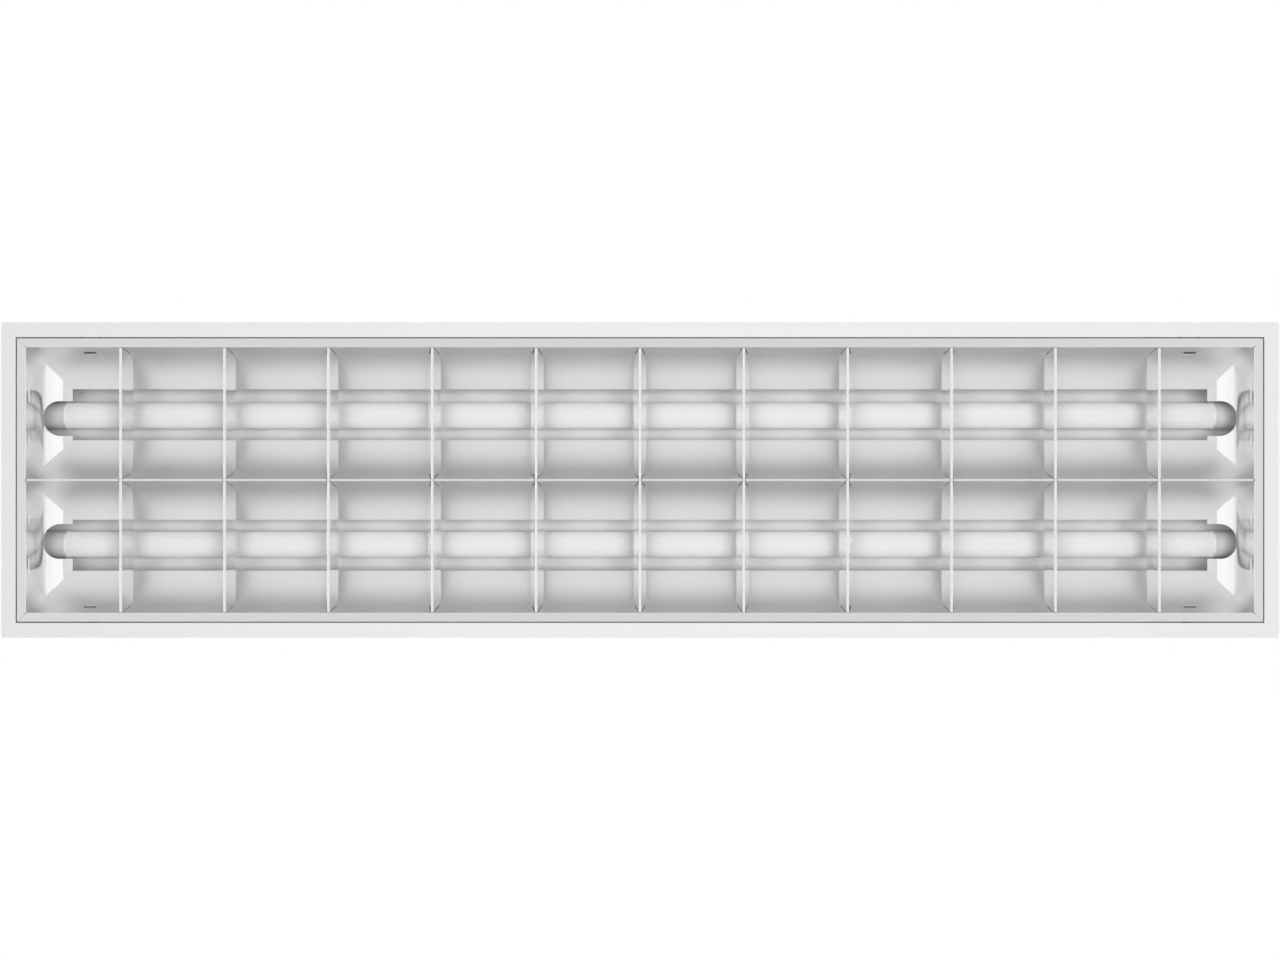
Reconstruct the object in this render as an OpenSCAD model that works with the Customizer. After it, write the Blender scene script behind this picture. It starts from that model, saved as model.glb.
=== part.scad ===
// Twin-tube louvred ceiling light: a white steel tray with a framed aluminium louvre hinged under it.
// The origin is the centre of the face that meets the ceiling, with +Z up and X along the tubes.

/* [Tubes] */
// Length of a tube from cap face to cap face
tube_l = 1199.4; // [1100:0.2:1500]
// Outer diameter of a tube
tube_d = 25.4; // [24:0.2:27]
// Wall of the glass
glass_t = 0.9; // [0.6:0.1:1.4]
// Length of an end cap that shows
cap_l = 26; // [20:0.5:40]
// Wall of an end cap
cap_t = 1.4; // [1:0.1:2]
// Length of a cap's spigot inside the glass
spigot_l = 8; // [4:1:14]
// How far an end cap stands out beyond the glass
cap_over = 1.1; // [0.8:0.1:1.3]
// Spacing of a cap's two pins
pin_pitch = 12.7; // [12:0.1:13.4]
// Diameter of a pin
pin_d = 2.35; // [2:0.05:2.6]
// Length of a pin outside its cap
pin_l = 7.1; // [6:0.1:7.3]
// Width of the LED board inside a tube
board_w = 15; // [10:0.5:18]
// Thickness of the LED board
board_t = 1.2; // [0.8:0.1:2]
// Height of a tube's axis above the louvre's front face
lamp_v = 66; // [65:0.5:70]

/* [Tray] */
// Room between a cap face and the outer face of the end wall
end_room = 17.8; // [17.4:0.2:26]
// Width of the tray
body_w = 305; // [295:1:345]
// Height of the tray
body_h = 95; // [94:0.5:115]
// Thickness of the steel sheet
sheet_t = 0.7; // [0.5:0.1:1]
// Width of the rim round the louvre
rim_w = 14.5; // [12:0.5:18]
// Radius of the tray's upright corners
corner_r = 2; // [1.2:0.1:5]
// Spacing of the ceiling screws along the tray
fix_x = 900; // [600:10:1000]
// Spacing of the ceiling screws across the tray
fix_y = 210; // [190:1:230]
// Diameter of the holes for the ceiling screws
fix_d = 6; // [4:0.5:9]
// Place of the cable entry along the tray
entry_x = 80; // [60:1:140]
// Diameter of the hole for the cable entry
entry_d = 20; // [14:0.5:24]
// Bore of the rubber bush in the cable entry
bush_bore = 10; // [7:0.5:13]
// Diameter of the knock-outs in the end walls
knock_d = 20; // [16:0.5:25]

/* [Louvre] */
// Gap between the louvre and the rim
louvre_gap = 1.2; // [1:0.1:2]
// How far the louvre's face stands back from the rim's face
louvre_inset = 0.4; // [0.2:0.1:1.5]
// Thickness of the aluminium sheet
louvre_t = 0.6; // [0.4:0.1:0.8]
// Width of the flat strip that frames the louvre
flange_w = 8.5; // [7.5:0.5:12]
// Open line of the mitres at the frame's corners
mitre_gap = 0.3; // [0.1:0.05:0.6]
// Height of the reflectors
refl_h = 42; // [40:0.5:48]
// How far a side reflector leans in from front to top
side_run = 38.4; // [34:0.2:41]
// How far an end reflector leans in from front to top
end_run = 31; // [28:0.5:36]
// How far each half of the centre reflector leans out from front to top
centre_run = 38.4; // [34:0.2:41]
// Half of the angle that a side or centre reflector's curve turns through
bow = 31; // [22:1:36]
// Half of the angle that an end reflector's curve turns through
end_bow = 36; // [26:1:38]
// Width of the fold along the centre reflector
ridge_w = 2; // [1.6:0.1:4]
// Number of cross blades
blade_count = 11; // [7:2:15]
// Distance from the frame's inner edge to the first blade
end_cell = 91.3; // [75:0.5:110]
// Height of a blade
blade_h = 20; // [18:0.5:24]
// Width of a blade at its open top
blade_w = 12.4; // [9:0.2:15]
// Width of a blade's folded lower edge
fold_w = 2.8; // [2.2:0.1:3.4]
// Height up to which a blade runs on through the centre reflector
lap_h = 15; // [9:0.5:16]
// Lowest point of the tabs at a blade's ends
tab_v = 3; // [2:0.5:6]
// Length of a tab behind the side reflector
tab_l = 2; // [1:0.5:3]
// Clearance of a blade in its slits
slit_gap = 0.6; // [0.3:0.05:0.8]
// Width of the notches in the end reflectors, through which the tubes' ends show
notch_w = 34.4; // [31:0.2:37]
// Height of the centre of a notch's round end above the louvre's front face
notch_v = 37; // [35:0.5:39]
// How far the notches lie inward of the tubes' axes
notch_in = 3.9; // [0:0.1:5]
// Distance from the frame's inner edge to the middle of a hinge or clip
window_x = 58; // [52:0.5:70]
// Width of the windows in the side reflectors
window_w = 12; // [8:0.5:16]
// Height of those windows
window_h = 4.5; // [4:0.5:6]
// Lower edge of those windows above the louvre's front face
window_v = 11.5; // [9:0.5:12]

/* [Hinges and clips] */
// Diameter of a hinge pin
hinge_pin_d = 2.5; // [2:0.1:2.8]
// Radius of the barrels and eyes round a hinge pin
barrel_r = 2.2; // [2:0.1:2.3]
// Distance of the hinge axis from the louvre's outer edge
hinge_in = 3.2; // [3:0.1:3.6]
// Height of the hinge axis above the louvre's front face
hinge_v = 3; // [2.9:0.1:3.2]
// Length of a hinge barrel
barrel_l = 14; // [8:1:24]
// Thickness of a hinge bracket's ears
ear_t = 3; // [2:0.5:5]
// Thickness of the hinge plates and of the plates behind the frame's corners
plate_t = 0.8; // [0.6:0.1:0.9]
// Length of the arms of the plates behind the frame's corners
corner_arm = 26; // [18:1:36]
// Height of the hinge bracket's arm above the hinge axis
arm_up = 14; // [10:1:24]
// Thickness of a spring clip's strip
spring_t = 0.6; // [0.4:0.1:0.8]
// Height of the part of a clip that lies on the tray's wall
clip_leg = 20; // [12:1:26]
// Radius of a spring clip's nose
nose_r = 1.5; // [1.2:0.1:1.7]

/* [Lampholders] */
// Width of a lampholder
holder_w = 26; // [24:0.5:30]
// Radius of a lampholder's round lower end
holder_r = 14.5; // [13.5:0.5:15.5]
// Gap between a lampholder and the tube's cap
holder_gap = 0.5; // [0.3:0.1:1]
// Gap between a lampholder's back and the tray's end wall
holder_back = 2.8; // [1:0.1:3.2]
// Diameter of a lampholder's rotor
rotor_d = 18; // [16.5:0.5:21]
// Depth of the rotor
rotor_t = 7.7; // [7.5:0.1:8.2]
// Width of the slot that the pins go in
pin_slot = 2.9; // [2.7:0.1:3.4]
// Thickness of a lampholder's brass contacts
contact_t = 0.6; // [0.4:0.1:0.9]

/* [Wiring] */
// Width of the wiring cover between its feet
cover_w = 46; // [42:1:52]
// Depth of the wiring cover
cover_h = 24; // [19:1:28]
// Length of the wiring cover
cover_l = 1160; // [1000:10:1170]
// Width of the wiring cover's feet
foot_w = 8; // [7:0.5:10]
// Spacing of the cover's screws along the tray
cover_screw_x = 800; // [400:10:1000]
// Diameter of an insulated lead
lead_d = 2.4; // [1.8:0.1:3]
// Radius of a bend in a lead, measured to its middle
lead_bend = 8; // [6:0.5:12]
// Spacing of the terminals
pole_pitch = 6; // [5.6:0.1:6.6]
// Length of the terminal block along the leads
block_l = 22; // [18:1:28]
// Height of the terminal block
block_h = 14; // [12:0.5:16]
// Height of the leads above the tray's sheet
lead_up = 5.4; // [4.6:0.1:6]
// Number of combs that hold the leads
comb_count = 4; // [2:1:6]
// Distance of the earth screw from the terminal block
earth_run = 30; // [20:1:50]

/* [Hidden] */

$fn = 96;
// Clearance between parts that only rest in each other
rest_gap = 0.1;
// Radial running clearance of a shaft in its bore
run_gap = 0.05;
// Overreach of a cut beyond the face it opens
over = 1;

// Tray
body_l = tube_l + 2 * end_room;
rim_t = 2 * sheet_t;
front_z = -body_h;
roof_z = -sheet_t;
open_l = body_l - 2 * rim_w;
open_w = body_w - 2 * rim_w;
wall_y = body_w / 2 - sheet_t;
knock_line = 0.5;
knock_cut = 0.4 * sheet_t;

// Louvre
louvre_z = front_z + louvre_inset;
out_l = open_l - 2 * louvre_gap;
out_w = open_w - 2 * louvre_gap;
in_l = out_l - 2 * flange_w;
in_w = out_w - 2 * flange_w;
lamp_y = (in_w / 2 - side_run + ridge_w / 2 + centre_run) / 2;
lamp_z = louvre_z + lamp_v;
first_blade = in_l / 2 - end_cell;
blade_pitch = 2 * first_blade / (blade_count - 1);
blade_x = [for (i = [0:blade_count - 1]) -first_blade + i * blade_pitch];
fold_r = fold_w / 2;
blade_steps = 6;
blade_flare = 1.3;
tab_top = lap_h;
window_places = [-1, 1] * (in_l / 2 - window_x);
side_curve = [side_run, bow];
centre_curve = [centre_run, bow];
end_curve = [end_run, end_bow];
foot_lap = louvre_t / 2;
corner_edge = 1;
corner_w = flange_w - 2.5 * corner_edge;

// Hinges and clips
hinge_y = -out_w / 2 + hinge_in;
hinge_z = louvre_z + hinge_v;
ear_gap = 0.5;
arm_w = 2.4;
nose_v = window_v + window_h / 2;
nose_in = curve_u(side_curve, nose_v) - nose_r - rest_gap;

// Lampholders and tubes
face_x = tube_l / 2;
holder_x = face_x + holder_gap;
holder_t = end_room - holder_gap - sheet_t - holder_back;
pocket_t = rotor_t + 0.3;
contact_w = 3;
contact_l = 7;
port_d = lead_d + 2 * rest_gap;
port_depth = 7;
port_shift = holder_t / 5;
glass_r = tube_d / 2 - glass_t;
board_rise = sqrt(pow(glass_r, 2) - pow(board_w / 2, 2)) - board_t - rest_gap;

// Wiring
lead_z = roof_z - lead_up;
pole_y = [for (i = [-2:2]) i * pole_pitch];
block_w = 5 * pole_pitch + 2;
sleeve_d = 4.4;
screw_d = 3.4;
block_screw_d = 2.6;
block_head_d = 4.6;
block_foot = 7;
block_foot_t = 2.5;
cover_screw_d = 3;
head_d = 6;
head_t = 2;
earth_x = -block_l / 2 - earth_run;
lug_t = 0.8;
comb_t = 6;
comb_w = 4 * pole_pitch + lead_d + 4;
comb_h = lead_up + lead_d / 2 + 1.2;
lead_in = 6;

white = "#ebebeb";
satin = "#c4c6c8";
mirror_grey = "#d4d6d8";
steel = "#9a9da0";
brass = "#c9a85a";
cream = "#e6e3da";

// Draws a flat shape in the plane across the tubes and runs it along X
module along_x(l) rotate([90, 0, 90]) linear_extrude(l, center = true) children();

// Draws a flat shape in the plane along the tubes and runs it along Y
module along_y(l) rotate([90, 0, 0]) linear_extrude(l, center = true) children();

// A rod along X from one place to another
module rod_x(x0, x1, d) translate([x0, 0, 0]) rotate([0, 90, 0]) cylinder(d = d, h = x1 - x0);

// A rectangle with rounded corners
module soft_square(l, w, r) {
    square([l - 2 * r, w], center = true);
    square([l, w - 2 * r], center = true);
    for (x = [-1, 1], y = [-1, 1]) translate([x * (l / 2 - r), y * (w / 2 - r)]) circle(r);
}

// The tray
module tray() {
    inner_r = corner_r - sheet_t;
    color(white) difference() {
        translate([0, 0, front_z]) linear_extrude(body_h) soft_square(body_l, body_w, corner_r);
        translate([0, 0, front_z + rim_t]) linear_extrude(body_h - rim_t - sheet_t)
            soft_square(body_l - 2 * sheet_t, body_w - 2 * sheet_t, inner_r);
        translate([0, 0, front_z - over]) linear_extrude(rim_t + 2 * over)
            square([open_l, open_w], center = true);
        roof_holes();
        for (x = [-1, 1]) translate([x * body_l / 2, 0, -body_h / 2]) knock_out();
    }
}

// Ring scored round a knock-out, cut into the wall that it is centred on
module knock_out() rotate([0, 90, 0]) difference() {
    cylinder(d = knock_d + 2 * knock_line, h = 2 * knock_cut, center = true);
    cylinder(d = knock_d, h = 2 * knock_cut + over, center = true);
}

module roof_holes() {
    for (x = [-1, 1] * fix_x / 2, y = [-1, 1] * fix_y / 2) roof_hole(x, y, fix_d);
    roof_hole(entry_x, 0, entry_d);
    for (p = cover_screw_places) roof_hole(p.x, p.y, cover_screw_d);
    for (p = block_screw_places) roof_hole(p.x, p.y, block_screw_d);
    roof_hole(earth_x, 0, screw_d);
}

module roof_hole(x, y, d) translate([x, y, roof_z - over]) cylinder(d = d, h = sheet_t + 2 * over);

cover_screw_places = [for (x = [-1, 1], y = [-1, 1])
    [x * cover_screw_x / 2, y * (cover_w + foot_w) / 2]];
block_screw_places = [for (s = [-1, 1]) [(block_l + block_foot) / 2, s * pole_pitch]];

// Cable entry: a bush that snaps in from inside and ends flush with the ceiling face
module cable_bush() {
    flange_r = entry_d / 2 + 2.5;
    flange_t = 1.8;
    skirt_l = 5;
    color("#3a3a3a") translate([entry_x, 0, 0]) rotate_extrude() polygon([
        [bush_bore / 2, 0],
        [entry_d / 2 - rest_gap, 0],
        [entry_d / 2 - rest_gap, roof_z],
        [flange_r, roof_z],
        [flange_r, roof_z - flange_t],
        [bush_bore / 2 + 2, roof_z - flange_t],
        [bush_bore / 2 + 1, roof_z - flange_t - skirt_l],
        [bush_bore / 2, roof_z - flange_t - skirt_l]
    ]);
}

// The folded cover over the leads
module wiring_cover() {
    t = sheet_t;
    color(white) difference() {
        translate([0, 0, roof_z]) along_x(cover_l) union() {
            difference() {
                translate([-cover_w / 2, -cover_h]) square([cover_w, cover_h]);
                translate([-cover_w / 2 + t, -cover_h + t]) square([cover_w - 2 * t, cover_h]);
            }
            for (s = [-1, 1]) translate([s * (cover_w + foot_w) / 2, -t / 2])
                square([foot_w, t], center = true);
        }
        for (p = cover_screw_places) translate([p.x, p.y, roof_z - t - over])
            cylinder(d = cover_screw_d + 2 * rest_gap, h = t + 2 * over);
    }
}

// A pan-head screw with its head down at z and its shank up to the ceiling face
module screw_up(d, z, head) {
    cross_w = head / 8;
    difference() {
        union() {
            translate([0, 0, z - head_t]) cylinder(d1 = head * 0.7, d2 = head, h = head_t / 2);
            translate([0, 0, z - head_t / 2]) cylinder(d = head, h = head_t / 2);
            translate([0, 0, z]) cylinder(d = d - 2 * rest_gap, h = -z - rest_gap);
        }
        for (a = [0, 90]) translate([0, 0, z - head_t]) rotate(a)
            cube([head / 2, cross_w, head_t], center = true);
    }
}

module cover_screws() color(steel) for (p = cover_screw_places)
    translate([p.x, p.y, 0]) screw_up(cover_screw_d, roof_z - sheet_t, head_d);

// Terminal block with its sleeves and screws
module terminal_block() {
    screw_pit = screw_d + 2 * rest_gap;
    color(cream) difference() {
        union() {
            translate([-block_l / 2, -block_w / 2, roof_z - block_h]) cube([block_l, block_w, block_h]);
            translate([0, -block_w / 2, roof_z - block_foot_t])
                cube([block_l / 2 + block_foot, block_w, block_foot_t]);
        }
        for (y = pole_y) translate([0, y, lead_z])
            rod_x(-block_l / 2 - over, block_l / 2 + over, sleeve_d + 2 * run_gap);
        for (y = pole_y, x = [-1, 1] * block_l / 4) translate([x, y, roof_z - block_h - over])
            cylinder(d = screw_pit, h = block_h - lead_up + over);
        for (p = block_screw_places) translate([p.x, p.y, roof_z - block_foot_t - over])
            cylinder(d = block_screw_d, h = block_foot_t + 2 * over);
    }
}

module terminal_sleeves() color(brass) for (y = pole_y) difference() {
    translate([0, y, lead_z]) rod_x(-block_l / 2 + 1, block_l / 2 - 1, sleeve_d);
    translate([0, y, lead_z]) rod_x(-block_l / 2, block_l / 2, lead_d + 2 * rest_gap);
    for (x = [-1, 1] * block_l / 4) translate([x, y, lead_z - sleeve_d])
        cylinder(d = screw_d + 2 * rest_gap, h = sleeve_d);
}

module terminal_screws() {
    tip_z = lead_z - lead_d / 2 - rest_gap;
    foot_z = roof_z - block_h + 2;
    color(steel) for (y = pole_y, x = [-1, 1] * block_l / 4) translate([x, y, foot_z]) difference() {
        cylinder(d = screw_d, h = tip_z - foot_z);
        translate([0, 0, -over]) cube([screw_d + over, screw_d / 5, 2 * over + 1], center = true);
    }
}

module block_screws() color(steel) for (p = block_screw_places)
    translate([p.x, p.y, 0]) screw_up(block_screw_d, roof_z - block_foot_t, block_head_d);

// Earth screw, its lug and its lead
module earth_lug() {
    barrel_r = lead_d / 2 + 0.7;
    color(brass) difference() {
        union() {
            translate([earth_x, 0, roof_z - lug_t]) cylinder(r = 4, h = lug_t);
            translate([earth_x, -2, roof_z - lug_t]) cube([9, 4, lug_t]);
            translate([earth_x + 6, 0, lead_z]) rod_x(0, 6, 2 * barrel_r);
            translate([earth_x + 6, -1.2, lead_z]) cube([3, 2.4, roof_z - lead_z]);
        }
        translate([earth_x, 0, roof_z - lug_t - over]) cylinder(d = screw_d, h = lug_t + 2 * over);
        translate([earth_x + 8, 0, lead_z]) rod_x(0, 4 + over, lead_d + 2 * rest_gap);
    }
}

module earth_screw() color(steel) translate([earth_x, 0, 0]) screw_up(screw_d, roof_z - lug_t, head_d);

module lead_earth() color("#7fa845") translate([0, 0, lead_z])
    rod_x(earth_x + 9, -block_l / 2 + lead_in, lead_d);

// A lead from the terminal block to the side of a lampholder, for the side that y is on
module lead(y, x_end) {
    side = sign(y);
    stop_y = lamp_y - holder_w / 2 + port_depth - 1;
    b = lead_bend;
    translate([0, y, lead_z]) rod_x(x_end + b, -block_l / 2 + lead_in, lead_d);
    translate([x_end + b, y + side * b, lead_z]) rotate(side > 0 ? 180 : 90)
        rotate_extrude(angle = 90) translate([b, 0]) circle(d = lead_d);
    translate([x_end, y + side * b, lead_z]) rotate([-side * 90, 0, 0])
        cylinder(d = lead_d, h = stop_y - abs(y) - b);
}

holder_mid = -holder_x - holder_t / 2;
module lead_live(i) color("#8c6a4f") lead(i == 1 ? pole_y[0] : pole_y[4], holder_mid + port_shift);
module lead_neutral(i) color("#5f86b3") lead(i == 1 ? pole_y[1] : pole_y[3], holder_mid - port_shift);

module wire_combs() {
    far_x = cover_l / 2 - comb_t;
    near_x = -earth_x + 20;
    comb_step = (far_x - near_x) / (comb_count - 1);
    color(cream) for (i = [0:comb_count - 1]) translate([-near_x - i * comb_step, 0, 0]) difference() {
        translate([-comb_t / 2, -comb_w / 2, roof_z - comb_h]) cube([comb_t, comb_w, comb_h]);
        for (k = [0, 1, 3, 4]) translate([0, pole_y[k], lead_z]) rod_x(-comb_t, comb_t, port_d);
    }
}

// A lampholder for the tube on the side s, at the end e
module at_holder(e, s) translate([e * holder_x, s * lamp_y, 0]) mirror([e > 0 ? 0 : 1, 0, 0])
    mirror([0, s > 0 ? 0 : 1, 0]) children();

module lampholder(e, s) color("#f2f2f0") at_holder(e, s) difference() {
    union() {
        translate([0, 0, lamp_z]) rod_x(0, holder_t, 2 * holder_r);
        translate([0, -holder_w / 2, lamp_z]) cube([holder_t, holder_w, roof_z - lamp_z]);
    }
    translate([0, 0, lamp_z]) rod_x(-over, pocket_t, rotor_d + 2 * run_gap);
    translate([-over, -pin_slot / 2, lamp_z - holder_r - over])
        cube([pocket_t + over, pin_slot, holder_r + over]);
    contact_pockets(rest_gap);
    if (e < 0) for (x = [-1, 1] * port_shift)
        translate([holder_t / 2 + x, -holder_w / 2 + port_depth, lead_z])
            rotate([90, 0, 0]) cylinder(d = port_d, h = port_depth + over);
}

// The two contacts behind a rotor, or the pockets that hold them
module contact_pockets(c) for (y = [-1, 1] * pin_pitch / 2)
    translate([pocket_t - (c > 0 ? over : 0), y - contact_w / 2 - c, lamp_z - contact_l / 2 - c])
        cube([contact_t + (c > 0 ? over : 0), contact_w + 2 * c, contact_l + 2 * c]);

module holder_contacts() color(brass) for (e = [-1, 1], s = [-1, 1]) at_holder(e, s) contact_pockets(0);

// The turning part of a lampholder, with its slot level as it is when the tube is locked in
module rotor(e, s) color("#e8e8e4") at_holder(e, s) translate([0, 0, lamp_z]) difference() {
    rod_x(0, rotor_t, rotor_d);
    translate([-over, -rotor_d, -pin_slot / 2]) cube([pin_l + over, 2 * rotor_d, pin_slot]);
}

// Tube
module at_lamp(s) translate([0, s * lamp_y, lamp_z]) children();

module tube_glass(s) color("#f4f4f2") at_lamp(s) difference() {
    rod_x(-face_x + cap_l, face_x - cap_l, tube_d);
    rod_x(-face_x, face_x, 2 * glass_r);
}

module tube_cap(s, e) {
    r = tube_d / 2 + cap_over;
    edge = 0.7 * cap_over;
    spigot_r = glass_r - rest_gap;
    pin_hole = pin_d / 2;
    color("#d9d9d7") at_lamp(s) rotate([0, e * 90, 0]) translate([0, 0, face_x]) difference() {
        rotate_extrude() polygon([
            [0, 0],
            [r - edge, 0],
            [r, -edge],
            [r, -cap_l + edge],
            [r - edge, -cap_l],
            [spigot_r, -cap_l],
            [spigot_r, -cap_l - spigot_l],
            [spigot_r - cap_t, -cap_l - spigot_l],
            [spigot_r - cap_t, -cap_t],
            [0, -cap_t]
        ]);
        for (y = [-1, 1] * pin_pitch / 2) translate([0, y, -cap_t - over])
            cylinder(r = pin_hole, h = cap_t + 2 * over);
        translate([-e * (board_rise + board_t / 2), 0, -cap_l - (spigot_l + over) / 2])
            cube([board_t + 2 * rest_gap, board_w + 2 * rest_gap, spigot_l + over], center = true);
    }
}

module tube_pins(s) color(brass) at_lamp(s) for (e = [-1, 1], y = [-1, 1] * pin_pitch / 2)
    translate([0, y, 0]) rotate([0, e * 90, 0]) translate([0, 0, face_x - cap_t]) {
        cylinder(d = pin_d, h = cap_t + pin_l - pin_d / 2);
        translate([0, 0, cap_t + pin_l - pin_d / 2]) cylinder(d1 = pin_d, d2 = pin_d / 2, h = pin_d / 2);
    }

module tube_board(s) color("#f0efe8") at_lamp(s) translate([0, 0, board_rise + board_t / 2])
    cube([tube_l - 2 * cap_l - 2 * spigot_l + 8, board_w, board_t], center = true);

// Curve k of a reflector, given by its run and bow: it starts at the origin and ends inboard by
// the run and up by the reflector's height
function curve_r(k) = norm([k[0], refl_h]) / (2 * sin(k[1]));
function curve_c(k) = [k[0], refl_h] / 2 + [refl_h, -k[0]] * cos(k[1]) / (2 * sin(k[1]));
// How far inboard the curve is at height v, and how far it leans from upright there
function curve_u(k, v) = curve_c(k).x - sqrt(pow(curve_r(k), 2) - pow(v - curve_c(k).y, 2));
function curve_lean(k, v) = asin((v - curve_c(k).y) / curve_r(k));

// Everything inboard of the curve, less a margin c
module inboard(k, c) translate(curve_c(k)) {
    circle(curve_r(k) - c, $fn = 360);
    translate([0, -in_w]) square([in_w, 2 * in_w]);
}

// Section of a reflector's sheet: flat at its foot, and square to the sheet at its top edge
module curve_sheet(k) {
    c = curve_c(k);
    above_top = 2 * [k[0], refl_h] - c;
    intersection() {
        translate(c) difference() {
            circle(curve_r(k) + louvre_t, $fn = 360);
            circle(curve_r(k), $fn = 360);
        }
        polygon([c, above_top, [-in_w, above_top.y], [-in_w, 0], [c.x / 2, 0]]);
    }
}

// Flat strip on one long side of the frame, and on one end, cut to the corner's mitre. Its inner
// edge lies inside the foot of the reflector that it is folded from
module side_strip() linear_extrude(louvre_t) polygon([
    [-out_l / 2 + mitre_gap, -out_w / 2],
    [out_l / 2 - mitre_gap, -out_w / 2],
    [in_l / 2 + foot_lap - mitre_gap, -in_w / 2 - foot_lap],
    [-in_l / 2 - foot_lap + mitre_gap, -in_w / 2 - foot_lap]
]);

module end_strip() linear_extrude(louvre_t) polygon([
    [out_l / 2, -out_w / 2],
    [out_l / 2, out_w / 2],
    [in_l / 2 + foot_lap, in_w / 2 + foot_lap],
    [in_l / 2 + foot_lap, -in_w / 2 - foot_lap]
]);

// Outline of a blade seen along its length, grown by c; the hollow is what the fold leaves open
module blade_outline(c, top) {
    half = fold_r + c;
    translate([0, fold_r]) circle(half);
    polygon(concat(
        [for (i = [0:blade_steps]) blade_edge(i, c, top)],
        [for (i = [blade_steps:-1:0]) let (p = blade_edge(i, c, top)) [-p.x, p.y]]
    ));
}

function blade_edge(i, c, top) =
    let (f = i / blade_steps)
    [fold_r + c + (blade_w / 2 - fold_r) * pow(f, blade_flare),
     fold_r + (blade_h - fold_r) * f + (i == blade_steps ? top : 0)];

module blade_shell(c) difference() {
    blade_outline(c, 0);
    blade_outline(-louvre_t - c, over);
}

// The bay between a side reflector and the centre reflector, seen along the tubes
module bay(c) intersection() {
    translate([ridge_w / 2 + c, 0]) square([(in_w - ridge_w) / 2 - c, refl_h]);
    translate([in_w / 2, 0]) mirror([1, 0]) inboard(side_curve, c);
    translate([ridge_w / 2, 0]) inboard(centre_curve, c);
}

module louvre_place() translate([0, 0, louvre_z]) children();

// Side reflector on the hinge side; the other one is its mirror image
module side_reflector() {
    window_cut = [window_w, side_run / 2, window_h];
    color(satin) louvre_place() difference() {
        union() {
            side_strip();
            along_x(in_l - 2 * mitre_gap) translate([-in_w / 2, 0]) curve_sheet(side_curve);
        }
        for (x = blade_x) intersection() {
            translate([x, -in_w / 2, 0]) along_y(2 * side_run) blade_shell(slit_gap);
            translate([x - blade_w, -in_w / 2 - 2, tab_v - slit_gap])
                cube([2 * blade_w, side_run, tab_top - tab_v + 2 * slit_gap]);
        }
        for (x = window_places) translate([x - window_w / 2, -in_w / 2 - 2, window_v]) cube(window_cut);
    }
}

// End reflector at the +X end: one bowed face to each bay, joined by the frame's end strip
module end_reflector() color(mirror_grey) louvre_place() {
    end_strip();
    difference() {
        intersection() {
            translate([in_l / 2, 0, 0]) mirror([1, 0, 0]) along_y(in_w) curve_sheet(end_curve);
            translate([in_l / 2, 0, 0]) along_x(4 * end_run) {
                bay(rest_gap);
                mirror([1, 0]) bay(rest_gap);
            }
        }
        for (s = [-1, 1]) translate([in_l / 2, s * (lamp_y - notch_in), 0]) end_notch();
    }
}

// Cut for a tube's end, square to the sheet at the centre of its round end and open to the top
module end_notch() translate([-curve_u(end_curve, notch_v), 0, notch_v])
    rotate([0, 90 - curve_lean(end_curve, notch_v), 0]) {
        cylinder(d = notch_w, h = notch_w, center = true);
        translate([-end_run / 2, 0, 0]) cube([end_run, notch_w, notch_w], center = true);
    }

// Centre reflector: two bowed faces from one fold, slit where the blades run on through it
module centre_reflector() color(satin) louvre_place() difference() {
    along_x(in_l - 2 * mitre_gap) {
        for (s = [0, 1]) mirror([s, 0]) translate([ridge_w / 2, 0]) curve_sheet(centre_curve);
        translate([-ridge_w / 2 + foot_lap, 0]) square([ridge_w - 2 * foot_lap, louvre_t]);
    }
    for (x = blade_x) intersection() {
        translate([x, 0, 0]) along_y(2 * centre_run) blade_outline(slit_gap, 0);
        translate([x - blade_w, -centre_run, -over])
            cube([2 * blade_w, 2 * centre_run, lap_h + slit_gap + over]);
    }
}

// Side view of a blade: it follows both side reflectors, clears the centre one and has end tabs
module blade_span() {
    notch_half = ridge_w / 2 + centre_run;
    difference() {
        between_sides(slit_gap) translate([-in_w / 2, 0]) square([in_w / 2, blade_h]);
        difference() {
            translate([-notch_half, lap_h]) square([2 * notch_half, refl_h]);
            for (s = [0, 1]) mirror([s, 0]) translate([ridge_w / 2, 0]) inboard(centre_curve, slit_gap);
        }
    }
    between_sides(-louvre_t - tab_l) translate([-in_w / 2 - tab_l, tab_v])
        square([side_run, tab_top - tab_v]);
}

// Cuts a shape on the -Y half by the side reflector's curve and adds its mirror image
module between_sides(c) for (s = [0, 1]) mirror([s, 0]) intersection() {
    children();
    translate([-in_w / 2, 0]) inboard(side_curve, c);
}

module blade(i) color(mirror_grey) louvre_place() translate([blade_x[i - 1], 0, 0]) intersection() {
    along_y(in_w + 4 * tab_l) blade_shell(0);
    along_x(2 * blade_w) blade_span();
}

// Plates behind the corners, which join the frame's long and short strips
module corner_plates() {
    arm_x = out_l / 2 - corner_edge;
    arm_y = out_w / 2 - corner_edge;
    color(steel) louvre_place() for (i = [0, 1], j = [0, 1]) mirror([i, 0, 0]) mirror([0, j, 0])
        translate([0, 0, louvre_t]) linear_extrude(plate_t) polygon([
            [arm_x, arm_y],
            [arm_x - corner_arm, arm_y],
            [arm_x - corner_arm, arm_y - corner_w],
            [arm_x - corner_w, arm_y - corner_w],
            [arm_x - corner_w, arm_y - corner_arm],
            [arm_x, arm_y - corner_arm]
        ]);
}

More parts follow.
